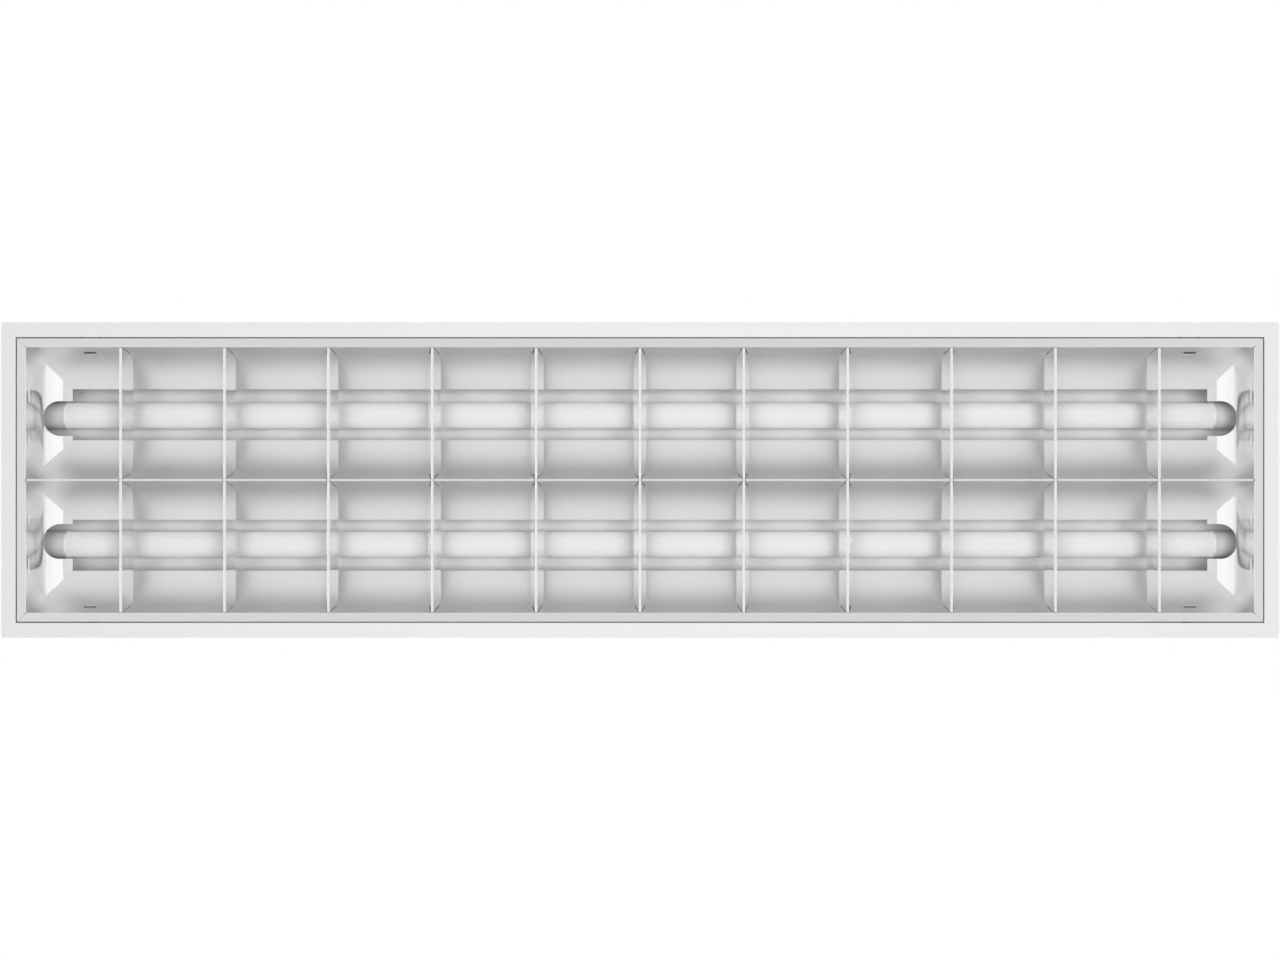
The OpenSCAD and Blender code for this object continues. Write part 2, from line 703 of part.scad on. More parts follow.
// Hinge: leaves on the louvre, brackets on the tray, and the pins between them
module hinge_leaves() color(steel) louvre_place() for (x = window_places) translate([x, 0, 0])
difference() {
    union() {
        translate([-barrel_l / 2, hinge_y - barrel_r, louvre_t])
            cube([barrel_l, -in_w / 2 - 1 - hinge_y + barrel_r, plate_t]);
        translate([0, hinge_y, hinge_v]) rod_x(-barrel_l / 2, barrel_l / 2, 2 * barrel_r);
    }
    translate([0, hinge_y, hinge_v]) rod_x(-barrel_l, barrel_l, hinge_pin_d + 2 * run_gap);
}

module hinge_pins() {
    half = barrel_l / 2 + ear_gap + ear_t;
    color(steel) for (x = window_places) translate([x, hinge_y, hinge_z]) rod_x(-half, half, hinge_pin_d);
}

module hinge_bracket(i) {
    reach = wall_y + hinge_y;
    ear_x = barrel_l / 2 + ear_gap;
    color(steel) translate([window_places[i], hinge_y, hinge_z]) {
        difference() {
            for (s = [0, 1]) mirror([s, 0, 0]) translate([ear_x + ear_t / 2, 0, 0]) along_x(ear_t) {
                circle(barrel_r);
                translate([-arm_w / 2, 0]) square([arm_w, arm_up]);
                translate([-reach, arm_up - arm_w]) square([reach + arm_w / 2, arm_w]);
            }
            rod_x(-ear_x - 2 * ear_t, ear_x + 2 * ear_t, hinge_pin_d);
        }
        translate([-ear_x - ear_t, -reach, arm_up - arm_w]) cube([2 * (ear_x + ear_t), plate_t, 3 * arm_w]);
    }
}

// A strip of thickness t from p to q, which reaches past both by half its thickness
module strip(p, q, t) {
    d = q - p;
    translate(p) rotate(atan2(d.y, d.x)) translate([-t / 2, -t / 2]) square([norm(d) + t, t]);
}

// Spring clip on the tray's wall, with its nose in the louvre's window
module spring_clip(i) {
    leg_y = wall_y - spring_t / 2;
    nose = [in_w / 2 - nose_in, nose_v];
    knee = [leg_y, nose_v + 8];
    heel = nose + [6, -1.2];
    color(steel) louvre_place() translate([window_places[i], 0, 0]) along_x(window_w - 2) difference() {
        union() {
            strip(knee + [0, clip_leg], knee, spring_t);
            strip(knee - [spring_t / 4, 0], nose, spring_t);
            strip(nose, heel, spring_t);
            translate(nose) circle(nose_r);
        }
        translate(nose) circle(nose_r - spring_t);
    }
}

tray();
wiring_cover();
cover_screws();
terminal_block();
terminal_sleeves();
terminal_screws();
block_screws();
cable_bush();
earth_screw();
earth_lug();
lead_earth();
wire_combs();
holder_contacts();
hinge_pins();
hinge_leaves();
corner_plates();
for (i = [1:2]) {
    s = i == 1 ? -1 : 1;
    lead_live(i);
    lead_neutral(i);
    lampholder(-1, s);
    lampholder(1, s);
    tube_glass(s);
    tube_cap(s, -1);
    tube_cap(s, 1);
    tube_pins(s);
    tube_board(s);
    rotor(-1, s);
    rotor(1, s);
}
hinge_bracket(0);  // hinge_bracket_left
hinge_bracket(1);  // hinge_bracket_right
spring_clip(0);  // spring_clip_left
spring_clip(1);  // spring_clip_right
side_reflector();  // side_reflector_hinge
mirror([0, 1, 0]) side_reflector();  // side_reflector_clip
mirror([1, 0, 0]) end_reflector();  // end_reflector_a
end_reflector();  // end_reflector_b
centre_reflector();
for (i = [1:blade_count]) blade(i);
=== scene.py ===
import math

import bpy
from bpy.props import FloatProperty, FloatVectorProperty, IntProperty
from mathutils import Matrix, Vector


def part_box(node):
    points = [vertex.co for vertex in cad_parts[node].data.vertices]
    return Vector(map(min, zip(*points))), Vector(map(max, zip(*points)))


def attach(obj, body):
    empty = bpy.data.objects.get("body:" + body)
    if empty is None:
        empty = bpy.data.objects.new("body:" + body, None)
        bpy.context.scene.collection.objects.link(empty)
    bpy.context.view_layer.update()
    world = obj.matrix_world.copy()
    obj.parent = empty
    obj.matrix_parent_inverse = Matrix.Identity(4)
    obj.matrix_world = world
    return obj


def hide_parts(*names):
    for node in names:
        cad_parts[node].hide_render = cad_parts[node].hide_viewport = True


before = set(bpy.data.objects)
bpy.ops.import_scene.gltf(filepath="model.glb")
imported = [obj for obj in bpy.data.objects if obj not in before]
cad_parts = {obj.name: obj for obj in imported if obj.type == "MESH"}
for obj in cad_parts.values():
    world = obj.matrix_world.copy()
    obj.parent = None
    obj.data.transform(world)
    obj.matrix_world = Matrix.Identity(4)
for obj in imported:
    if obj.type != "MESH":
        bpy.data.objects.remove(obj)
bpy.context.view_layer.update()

bl_info = {
    "name": "Louvred Ceiling Light",
    "version": (1, 0, 0),
    "blender": (4, 5, 0),
    "location": "View3D > Sidebar > Louvre Light",
    "description": "Dresses a twin-tube louvred ceiling light piece by piece",
    "category": "Add Mesh",
}

MM = 0.001
# Edges that turn by more than this stay hard
SMOOTH = math.radians(32)
# Vertices nearer to each other than this are one
SAME = 0.002 * MM
# How near a vertex lies to a line that it counts as on
NEAR = 0.01 * MM
# Length of the faces along a reflector
COLUMN = 12 * MM
# Half of the room along the light that a cutter round a blade may take
BLADE_ROOM = 20 * MM
# How a blade's sides curve towards its fold, where 1 is straight
BLADE_TAPER = 1.3


def linear(hex_colour, alpha=1.0):
    """Turns an sRGB hex colour to the linear values that a shader takes."""
    channels = []
    for i in (1, 3, 5):
        c = int(hex_colour[i:i + 2], 16) / 255
        channels.append(c / 12.92 if c <= 0.04045 else ((c + 0.055) / 1.055) ** 2.4)
    return (*channels, alpha)


# Places read from the frame
TRAY_LO, TRAY_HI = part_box("tray")
BLADE_LO, BLADE_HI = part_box("blade_1")
LAMP_LO, LAMP_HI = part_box("tube_2_glass")
FACE_Z = BLADE_LO.z
OUT_L = 2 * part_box("end_reflector_b")[1].x
OUT_W = -2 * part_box("side_reflector_hinge")[0].y
LAMP_Y = (LAMP_LO.y + LAMP_HI.y) / 2
BLADE_NODES = sorted(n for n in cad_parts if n.startswith("blade_"))


def length(name, description, default_mm):
    """A size in the sidebar, given in millimetres here and held in metres."""
    return FloatProperty(name=name, description=description, default=default_mm * MM,
                         min=0.0, unit="LENGTH", precision=5)


def angle(name, description, default_deg):
    """An angle in the sidebar, given in degrees here and held in radians."""
    return FloatProperty(name=name, description=description, default=math.radians(default_deg),
                         subtype="ANGLE")


def colour(name, description, hex_colour):
    """A colour in the sidebar, given in sRGB hex here."""
    return FloatVectorProperty(name=name, description=description, subtype="COLOR", size=4,
                               min=0.0, max=1.0, default=linear(hex_colour))


class LouvreSizes(bpy.types.PropertyGroup):
    """Sizes of the aluminium louvre."""
    strip_w: length("Frame strip", "Width of the flat strip round the louvre", 8.5)
    sheet: length("Louvre sheet", "Thickness of the aluminium", 0.6)
    height: length("Reflector height", "Height of the reflectors", 42)
    side_run: length("Side lean", "How far a side reflector leans in", 38.4)
    end_run: length("End lean", "How far an end reflector leans in", 31)
    centre_run: length("Centre lean", "How far the centre reflector leans out", 38.4)
    ridge_w: length("Ridge", "Width of the fold along the centre reflector", 2)
    mitre_gap: length("Mitre gap", "Open line of the corner mitres", 0.3)
    blade_w: length("Blade top", "Width of a blade at its open top", 12.4)
    fold_w: length("Blade fold", "Width of a blade's lower edge", 2.8)
    lap: length("Lap height", "Height up to which a blade passes the centre reflector", 15)
    tab_low: length("Tab foot", "Lowest point of a blade's end tabs", 3)
    tab_out: length("Tab length", "How far a tab reaches past the sheet", 2)
    slit_gap: length("Slit gap", "Clearance round a blade in its slits", 0.6)
    notch_w: length("Tube notch", "Width of an end reflector's tube notch", 34.4)
    notch_up: length("Notch height", "Height of the centre of the notch's round end", 37)
    notch_in: length("Notch offset", "How far a notch lies inward of its tube's axis", 3.9)
    window_x: length("Window place", "Distance of a window's middle from the frame", 58)
    window_w: length("Window width", "Width of a window in a side reflector", 12)
    window_h: length("Window height", "Height of a window in a side reflector", 4.5)
    window_low: length("Window foot", "Lower edge of a window above the face", 11.5)
    bow: angle("Bow", "Half of the angle that a side or centre reflector turns through", 31)
    end_bow: angle("End bow", "Half of the angle that an end reflector turns through", 36)
    fold_r: length("Fold reach", "How far the rounding of the frame's folds reaches", 0.7)
    steps: IntProperty(name="Curve steps", description="Rows of faces up a reflector", default=20, min=4)


class TraySizes(bpy.types.PropertyGroup):
    """Sizes of the white steel tray."""
    rim_w: length("Rim", "Width of the rim round the louvre", 14.5)
    sheet: length("Tray sheet", "Thickness of the steel", 0.7)
    corner_r: length("Corner radius", "Radius of the upright corners", 2)
    fold_r: length("Fold radius", "Radius of the rim's outer fold", 0.9)
    hole_d: length("Ceiling hole", "Diameter of the holes for the ceiling screws", 6)
    hole_x: length("Hole spacing along", "Spacing of the ceiling screws along the tray", 900)
    hole_y: length("Hole spacing across", "Spacing of the ceiling screws across the tray", 210)
    entry_d: length("Cable hole", "Diameter of the hole for the cable entry", 20)
    knock_d: length("Knock-out", "Diameter of the knock-outs in the end walls", 20)
    knock_line: length("Knock-out line", "Width of the ring scored round a knock-out", 0.5)


class FinishColours(bpy.types.PropertyGroup):
    """Colours of the finishes that show."""
    paint: colour("Powder coat", "White powder coat of the tray", "#EFEFEF")
    satin: colour("Satin sheet", "Satin anodised reflector sheet", "#E7E7E7")
    bright: colour("Bright sheet", "Bright anodised blades and ends", "#FAFAFA")
    opal: colour("Opal glass", "Frosted tube glass", "#EEEEEE")
    cap: colour("Tube cap", "Moulded end cap", "#DEDEDE")
    holder: colour("Lampholder", "Moulded lampholder", "#ECECE8")


# Materials


def add_node(tree, kind, settings=None, **links):
    """Adds a node with its settings, and links or values for its inputs by socket name."""
    node = tree.nodes.new(kind)
    for key, value in (settings or {}).items():
        setattr(node, key, value)
    for key, value in links.items():
        socket = node.inputs[key.replace("_", " ")]
        if isinstance(value, bpy.types.NodeSocket):
            tree.links.new(value, socket)
        else:
            socket.default_value = value
    return node


def new_material(name, base, metallic, roughness):
    """A material with its Principled shader and the object's own coordinates."""
    mat = bpy.data.materials.new(name)
    mat.use_nodes = True
    tree = mat.node_tree
    shader = tree.nodes["Principled BSDF"]
    shader.inputs["Base Color"].default_value = base
    shader.inputs["Metallic"].default_value = metallic
    shader.inputs["Roughness"].default_value = roughness
    place = tree.nodes.new("ShaderNodeTexCoord").outputs["Object"]
    return mat, tree, shader, place


def per_mm(size):
    """Noise scale whose features are about this many millimetres across."""
    return 1000 / size


def bump(tree, shader, height, strength, depth_mm):
    """Raises the surface by a pattern, as deep as given."""
    node = add_node(tree, "ShaderNodeBump", Strength=strength, Distance=depth_mm * MM, Height=height)
    tree.links.new(node.outputs["Normal"], shader.inputs["Normal"])


def vary(tree, pattern, low, high):
    """Maps a pattern between two values."""
    node = add_node(tree, "ShaderNodeMapRange", Value=pattern, To_Min=low, To_Max=high)
    return node.outputs["Result"]


def shades(tree, pattern, dark, light):
    """Runs a pattern between two colours."""
    node = add_node(tree, "ShaderNodeMix", {"data_type": "RGBA"})
    tree.links.new(pattern, node.inputs[0])
    node.inputs[6].default_value = dark
    node.inputs[7].default_value = light
    return node.outputs[2]


def powder_coat(base):
    """Polyester powder coat on steel: a soft sheen with fine orange peel."""
    mat, tree, shader, place = new_material("powder_coat_white", base, 0.0, 0.42)
    peel = add_node(tree, "ShaderNodeTexNoise", Vector=place, Scale=per_mm(1.6), Detail=2.0)
    cloud = add_node(tree, "ShaderNodeTexNoise", Vector=place, Scale=per_mm(60), Detail=2.0)
    tree.links.new(vary(tree, cloud.outputs["Fac"], 0.38, 0.47), shader.inputs["Roughness"])
    bump(tree, shader, peel.outputs["Fac"], 0.25, 0.05)
    shader.inputs["IOR"].default_value = 1.5
    return mat


def rolled_aluminium(name, base, rough, grain, metallic=1.0):
    """Rolled aluminium sheet: fine rolling lines and a broad soft waviness. A thick anodic layer or a
    rough back scatters part of the light, so such a side is less metallic and looks paler. The lines
    are drawn coarser than the real ones, so that they show."""
    mat, tree, shader, place = new_material(name, base, metallic, rough)
    lines_map = add_node(tree, "ShaderNodeMapping", Vector=place, Scale=grain)
    lines = add_node(tree, "ShaderNodeTexNoise", Vector=lines_map.outputs["Vector"],
                     Scale=per_mm(0.9), Detail=3.0, Roughness=0.6)
    wave = add_node(tree, "ShaderNodeTexNoise", Vector=place, Scale=per_mm(38), Detail=1.0)
    tree.links.new(vary(tree, lines.outputs["Fac"], rough - 0.05, rough + 0.06), shader.inputs["Roughness"])
    lines_to_wave = 0.006
    both = add_node(tree, "ShaderNodeMath", {"operation": "MULTIPLY_ADD"})
    tree.links.new(lines.outputs["Fac"], both.inputs[0])
    both.inputs[1].default_value = lines_to_wave
    tree.links.new(wave.outputs["Fac"], both.inputs[2])
    bump(tree, shader, both.outputs["Value"], 0.35, 0.5)
    return mat


def opal_glass(base):
    """Glass tube frosted on the inside: white body under a smooth clear skin. The frost's clouds are
    drawn coarser than the real ones, so that they show."""
    mat, tree, shader, place = new_material("opal_frosted_glass", base, 0.0, 0.34)
    shader.inputs["Diffuse Roughness"].default_value = 1.0
    shader.inputs["Sheen Weight"].default_value = 0.5
    shader.inputs["Sheen Roughness"].default_value = 0.5
    frost = add_node(tree, "ShaderNodeTexNoise", Vector=place, Scale=per_mm(9), Detail=3.0)
    tree.links.new(vary(tree, frost.outputs["Fac"], 0.30, 0.40), shader.inputs["Roughness"])
    shader.inputs["Coat Weight"].default_value = 0.2
    shader.inputs["Coat Roughness"].default_value = 0.08
    return mat


def moulded_plastic(name, base, rough=0.4):
    """Moulded plastic: fine spark-eroded grain and a soft sheen. The grain is drawn coarser than a
    real one, so that it shows."""
    mat, tree, shader, place = new_material(name, base, 0.0, rough)
    grain = add_node(tree, "ShaderNodeTexNoise", Vector=place, Scale=per_mm(0.8), Detail=2.0)
    tree.links.new(vary(tree, grain.outputs["Fac"], rough - 0.05, rough + 0.07), shader.inputs["Roughness"])
    bump(tree, shader, grain.outputs["Fac"], 0.2, 0.04)
    return mat


def plated_steel(name, base, rough=0.3):
    """Zinc-plated or bright steel: spangled tone and small changes of gloss."""
    mat, tree, shader, place = new_material(name, base, 1.0, rough)
    cloud = add_node(tree, "ShaderNodeTexNoise", Vector=place, Scale=per_mm(2.5), Detail=4.0)
    dark = tuple(0.8 * c for c in base[:3]) + (1.0,)
    tree.links.new(shades(tree, cloud.outputs["Fac"], dark, base), shader.inputs["Base Color"])
    tree.links.new(vary(tree, cloud.outputs["Fac"], rough - 0.08, rough + 0.1), shader.inputs["Roughness"])
    return mat


def rubber(base):
    """Moulded rubber: matt, with a dusty break in the tone."""
    mat, tree, shader, place = new_material("moulded_rubber_black", base, 0.0, 0.75)
    dust = add_node(tree, "ShaderNodeTexNoise", Vector=place, Scale=per_mm(3), Detail=4.0)
    dark = tuple(0.6 * c for c in base[:3]) + (1.0,)
    tree.links.new(shades(tree, dust.outputs["Fac"], dark, base), shader.inputs["Base Color"])
    bump(tree, shader, dust.outputs["Fac"], 0.3, 0.05)
    return mat


def make_materials(colours):
    """Every finish, by the name of the record's slot, with the back of the bright sheet and a plain white
    that paints the highlight on a cap's rounded mouth."""
    along = (0.02, 1.0, 1.0)
    across = (1.0, 0.02, 1.0)
    return {
        "white_steel": powder_coat(colours.paint),
        # Soft and streaky, shows light and dark but no picture
        "satin_aluminium": rolled_aluminium("satin_anodised_aluminium", colours.satin, 0.42, along, 0.85),
        # A mirror, slightly drawn out across the rolling lines
        "mirror_aluminium": rolled_aluminium("bright_anodised_aluminium", colours.bright, 0.09, across),
        # Dull and pale inside a blade's fold
        "sheet_back": rolled_aluminium("mill_finish_aluminium", colours.satin, 0.5, across, 0.4),
        "frosted_glass": opal_glass(colours.opal),
        # Matt light grey that stands out from the glass
        "cap_plastic": moulded_plastic("tube_cap_plastic", colours.cap, 0.45),
        # Painted highlight: a plain white band that stands in for the light caught on the cap's rounded
        # mouth
        "cap_painted_highlight": moulded_plastic("painted_cap_highlight_white", linear("#FFFFFF"), 0.3),
        # Slightly warm white with some gloss
        "white_plastic": moulded_plastic("lampholder_polycarbonate", colours.holder, 0.35),
        # Waxy cream
        "cream_plastic": moulded_plastic("terminal_nylon", linear("#E3DDCB"), 0.5),
        # Warm yellow, turned and lightly dulled
        "brass": plated_steel("bare_brass", linear("#C9A654"), 0.28),
        # Cool light grey with soft spangles
        "plated_steel": plated_steel("zinc_plated_steel", linear("#B9BCBF"), 0.34),
        # Darker and glossier than the plated pieces
        "spring_steel": plated_steel("bright_spring_steel", linear("#A5A8AB"), 0.24),
        "rubber": rubber(linear("#2B2B2B")),
        # Smooth lacquer, a little warmer than the glass
        "led_board": moulded_plastic("white_solder_mask", linear("#F1F1EA"), 0.3),
        # Smooth insulation in the colours of live, neutral and earth
        "brown_lead": moulded_plastic("brown_lead_insulation", linear("#6E4A30"), 0.38),
        "blue_lead": moulded_plastic("blue_lead_insulation", linear("#2F5E9E"), 0.38),
        "green_lead": moulded_plastic("green_lead_insulation", linear("#5C9A3C"), 0.38),
    }


# Modelling helpers


def deselect():
    """Leaves nothing selected."""
    bpy.ops.object.select_all(action="DESELECT")


def only(obj):
    """Makes one object the selected and active one."""
    deselect()
    obj.select_set(True)
    bpy.context.view_layer.objects.active = obj


def pick_verts(obj, test):
    """Selects the vertices that pass a test of their place, and goes into edit mode."""
    only(obj)
    for poly in obj.data.polygons:
        poly.select = False
    for edge in obj.data.edges:
        edge.select = False
    for vert in obj.data.vertices:
        vert.select = bool(test(vert.co))
    bpy.ops.object.mode_set(mode="EDIT")
    bpy.ops.mesh.select_mode(type="VERT")


def pick_edges(obj, test):
    """Selects the edges whose two ends pass a test, and goes into edit mode."""
    only(obj)
    verts = obj.data.vertices
    for poly in obj.data.polygons:
        poly.select = False
    for vert in verts:
        vert.select = False
    for edge in obj.data.edges:
        a, b = (verts[i].co for i in edge.vertices)
        edge.select = bool(test(a, b))
        if edge.select:
            for i in edge.vertices:
                verts[i].select = True
    bpy.ops.object.mode_set(mode="EDIT")
    bpy.ops.mesh.select_mode(type="EDGE")
    bpy.ops.object.mode_set(mode="OBJECT")
    for edge in obj.data.edges:
        a, b = (verts[i].co for i in edge.vertices)
        edge.select = bool(test(a, b))
    bpy.ops.object.mode_set(mode="EDIT")


def pick_faces(obj, test):
    """Selects the faces whose centre and normal pass a test, and goes into edit mode."""
    only(obj)
    bpy.ops.object.mode_set(mode="EDIT")
    bpy.ops.mesh.select_mode(type="FACE")
    bpy.ops.mesh.select_all(action="DESELECT")
    bpy.ops.object.mode_set(mode="OBJECT")
    for poly in obj.data.polygons:
        poly.select = bool(test(poly.center, poly.normal))
    bpy.ops.object.mode_set(mode="EDIT")


def leave_edit():
    """Goes back to object mode, which writes the edits to the mesh."""
    bpy.ops.object.mode_set(mode="OBJECT")


def use_modifier(obj, kind, **settings):
    """Adds a modifier with its settings and applies it."""
    only(obj)
    mod = obj.modifiers.new(kind.title(), kind)
    for key, value in settings.items():
        setattr(mod, key, value)
    bpy.ops.object.modifier_apply(modifier=mod.name)


def settle(obj):
    """Puts an object's place and size into its mesh."""
    only(obj)
    bpy.ops.object.transform_apply(location=True, rotation=True, scale=True)


def add_box(name, lo, hi):
    """A box between two corners."""
    lo, hi = Vector(lo), Vector(hi)
    deselect()
    bpy.ops.mesh.primitive_cube_add(size=1, location=(lo + hi) / 2)
    obj = bpy.context.object
    obj.name = name
    obj.scale = hi - lo
    settle(obj)
    return obj


def round_uprights(box, radius):
    """Rounds the four upright edges of a box."""
    pick_edges(box, lambda a, b: abs(a.z - b.z) > MM)
    bpy.ops.mesh.bevel(offset=radius, segments=5, affect="EDGES")
    leave_edit()


def add_rod(name, start, end, radius, sides=48):
    """A cylinder between two points."""
    start, end = Vector(start), Vector(end)
    way = end - start
    deselect()
    bpy.ops.mesh.primitive_cylinder_add(vertices=sides, radius=radius, depth=way.length,
                                        location=(start + end) / 2)
    obj = bpy.context.object
    obj.name = name
    obj.rotation_euler = way.to_track_quat("Z", "Y").to_euler()
    settle(obj)
    return obj


def chain(name, points):
    """A row of edges through the points, drawn from one vertex by extruding it."""
    deselect()
    bpy.ops.mesh.primitive_plane_add(size=MM, location=(0, 0, 0))
    obj = bpy.context.object
    obj.name = name
    bpy.ops.object.mode_set(mode="EDIT")
    bpy.ops.mesh.select_mode(type="VERT")
    bpy.ops.mesh.select_all(action="SELECT")
    bpy.ops.mesh.merge(type="CENTER")
    bpy.ops.transform.translate(value=points[0])
    for a, b in zip(points, points[1:]):
        bpy.ops.mesh.extrude_region_move(TRANSFORM_OT_translate={"value": b - a})
    leave_edit()
    return obj


def run_out(obj, steps):
    """Extrudes a row of edges into a sheet, one step after another."""
    pick_verts(obj, lambda co: True)
    for step in steps:
        bpy.ops.mesh.extrude_region_move(TRANSFORM_OT_translate={"value": step})
    leave_edit()


def face_out(obj, way):
    """Turns a sheet's faces so that most of them look the given way."""
    pick_verts(obj, lambda co: True)
    bpy.ops.mesh.normals_make_consistent(inside=False)
    leave_edit()
    total = sum((poly.normal * poly.area for poly in obj.data.polygons), Vector())
    if total.dot(Vector(way)) < 0:
        pick_verts(obj, lambda co: True)
        bpy.ops.mesh.flip_normals()
        leave_edit()


def join(name, objects):
    """Joins objects into the first one."""
    deselect()
    for obj in objects:
        obj.select_set(True)
    bpy.context.view_layer.objects.active = objects[0]
    if len(objects) > 1:
        bpy.ops.object.join()
    objects[0].name = name
    return objects[0]


def cut(obj, cutter, operation="DIFFERENCE"):
    """Cuts an object by another, which is then deleted."""
    use_modifier(obj, "BOOLEAN", object=cutter, operation=operation, solver="EXACT")
    only(cutter)
    bpy.ops.object.delete()
    only(obj)


def smooth(obj):
    """Shades an object smooth up to its hard edges."""
    only(obj)
    bpy.ops.object.shade_smooth_by_angle(angle=SMOOTH)


def mirror_across(obj):
    """Mirrors an object itself from one bay to the other."""
    obj.scale = (1, -1, 1)
    settle(obj)
    return obj


def twin(obj, name, move=(0, 0, 0), flip=(1, 1, 1)):
    """A copy with its own mesh, moved or mirrored, its normals set right again."""
    copy = obj.copy()
    copy.data = obj.data.copy()
    copy.name = name
    bpy.context.scene.collection.objects.link(copy)
    copy.location = move
    copy.scale = flip
    settle(copy)
    if flip[0] * flip[1] * flip[2] < 0:
        pick_verts(copy, lambda co: True)
        bpy.ops.mesh.flip_normals()
        leave_edit()
    return copy


def hand_over(obj, body, nodes, material):
    """Gives a piece its body, the nodes that it stands for and its finish."""
    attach(obj, body)
    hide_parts(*nodes)
    obj.data.materials.clear()
    obj.data.materials.append(material)


def second_finish(obj, material, test):
    """Gives a piece's faces that pass a test of their centre and normal a finish of their own."""
    obj.data.materials.append(material)
    for poly in obj.data.polygons:
        poly.material_index = int(test(poly.center, poly.normal))


def dressed(node, bevel_mm, body, material, segments=2):
    """A copy of a CAD node with its facets joined, its edges rounded and its curves smooth."""
    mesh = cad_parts[node].data.copy()
    obj = bpy.data.objects.new(node + "_finished", mesh)
    bpy.context.scene.collection.objects.link(obj)
    pick_verts(obj, lambda co: True)
    bpy.ops.mesh.remove_doubles(threshold=SAME)
    bpy.ops.mesh.dissolve_limited(angle_limit=math.radians(0.5))
    leave_edit()
    if bevel_mm:
        use_modifier(obj, "BEVEL", width=bevel_mm * MM, segments=segments, limit_method="ANGLE",
                     angle_limit=math.radians(40), use_clamp_overlap=True)
    smooth(obj)
    hand_over(obj, body, [node], material)
    return obj


# The louvre's curves


class Curve:
    """A reflector's curve: it starts at the frame's edge and ends inboard by its run at the top."""

    def __init__(self, run, bow, height):
        k = 1 / math.tan(bow) / 2
        self.height = height
        self.radius = math.hypot(run, height) / 2 / math.sin(bow)
        self.cu = run / 2 + height * k
        self.cv = height / 2 - run * k

    def u(self, v, margin=0.0):
        """How far inboard the face lies at height v, or a surface at a margin in front of it."""
        return self.cu - math.sqrt((self.radius - margin) ** 2 - (v - self.cv) ** 2)

    def slope(self, v):
        """How far the face leans from upright at height v."""
        return math.asin((v - self.cv) / self.radius)

    def points(self, steps, reach, fold_steps=5):
        """Points (inboard, height) from the flat strip round the fold, whose rounding reaches as
        far as given along both sides, and up the face at even angles."""
        foot = self.slope(0)
        turn = math.pi / 2 - foot
        fold_r = reach / math.tan(turn / 2)
        fold = []
        for i in range(fold_steps + 1):
            a = turn * i / fold_steps
            fold.append((-reach + fold_r * math.sin(a), fold_r - fold_r * math.cos(a)))
        a, b = self.slope(reach * math.cos(foot)), self.slope(self.height)
        heights = [self.cv + self.radius * math.sin(a + (b - a) * i / steps) for i in range(1, steps + 1)]
        return fold + [(self.u(v), v) for v in heights]


def side_curve(sizes):
    return Curve(sizes.side_run, sizes.bow, sizes.height)


def centre_curve(sizes):
    return Curve(sizes.centre_run, sizes.bow, sizes.height)


def end_curve(sizes):
    return Curve(sizes.end_run, sizes.end_bow, sizes.height)


def blade_half(sizes, v, grow=0.0):
    """Half of a blade's width at height v."""
    fold_r = sizes.fold_w / 2
    rise = (v - fold_r) / (BLADE_HI.z - FACE_Z - fold_r)
    return fold_r + grow + (sizes.blade_w / 2 - fold_r) * max(rise, 0) ** BLADE_TAPER


def blade_outline(sizes, top, grow=0.0, steps=10, fold_steps=8):
    """Outline (x, height) of a blade from its top left, round the fold, to its top right."""
    fold_r = sizes.fold_w / 2
    heights = [fold_r + (top - fold_r) * i / steps for i in range(steps + 1)]
    right = [(blade_half(sizes, v, grow), v) for v in heights]
    fold = []
    for i in range(1, fold_steps):
        a = math.pi * (1 + i / fold_steps)
        fold.append(((fold_r + grow) * math.cos(a), fold_r + (fold_r + grow) * math.sin(a)))
    return [(-x, v) for x, v in reversed(right)] + fold + right


def stations(start, end, pitch):
    """Even places from start to end, no further apart than the pitch."""
    count = max(1, math.ceil((end - start) / pitch))
    return [start + (end - start) * i / count for i in range(count + 1)]


def steps_between(places, axis):
    """The moves from each place to the next along an axis."""
    return [Vector(axis) * (b - a) for a, b in zip(places, places[1:])]


def blade_slits(sizes, name, y_lo, y_hi, low, high, shell):
    """Cutters in the form of the blades, hollow or solid, between two heights."""
    grow = sizes.slit_gap
    cutters = []
    for node in BLADE_NODES:
        lo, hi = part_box(node)
        x = (lo.x + hi.x) / 2
        outline = blade_outline(sizes, high, grow)
        points = [Vector((x + u, y_lo, FACE_Z + v)) for u, v in outline]
        form = chain(name, points)
        if shell:
            run_out(form, [Vector((0, y_hi - y_lo, 0))])
            face_out(form, (0, 0, -1))
            use_modifier(form, "SOLIDIFY", thickness=sizes.sheet + 2 * grow, offset=-1)
            keep = add_box("keep", (x - BLADE_ROOM, y_lo - MM, FACE_Z + low),
                           (x + BLADE_ROOM, y_hi + MM, FACE_Z + high + MM))
            cut(form, keep, "INTERSECT")
        else:
            pick_verts(form, lambda co: True)
            bpy.ops.mesh.edge_face_add()
            bpy.ops.mesh.extrude_region_move(
                TRANSFORM_OT_translate={"value": Vector((0, y_hi - y_lo, 0))})
            bpy.ops.mesh.select_all(action="SELECT")
            bpy.ops.mesh.normals_make_consistent(inside=False)
            leave_edit()
        cutters.append(form)
    return join(name, cutters)


# Operators


class PieceOperator:
    """What the operators share: undo, and the finishes in the scene's colours."""
    bl_options = {"REGISTER", "UNDO"}
    finishes = {}

    @classmethod
    def finish(cls, slot):
        """The finish of a slot; all of them are made at the first call."""
        if not PieceOperator.finishes:
            PieceOperator.finishes.update(make_materials(bpy.context.scene.light_colours))
        return PieceOperator.finishes[slot]


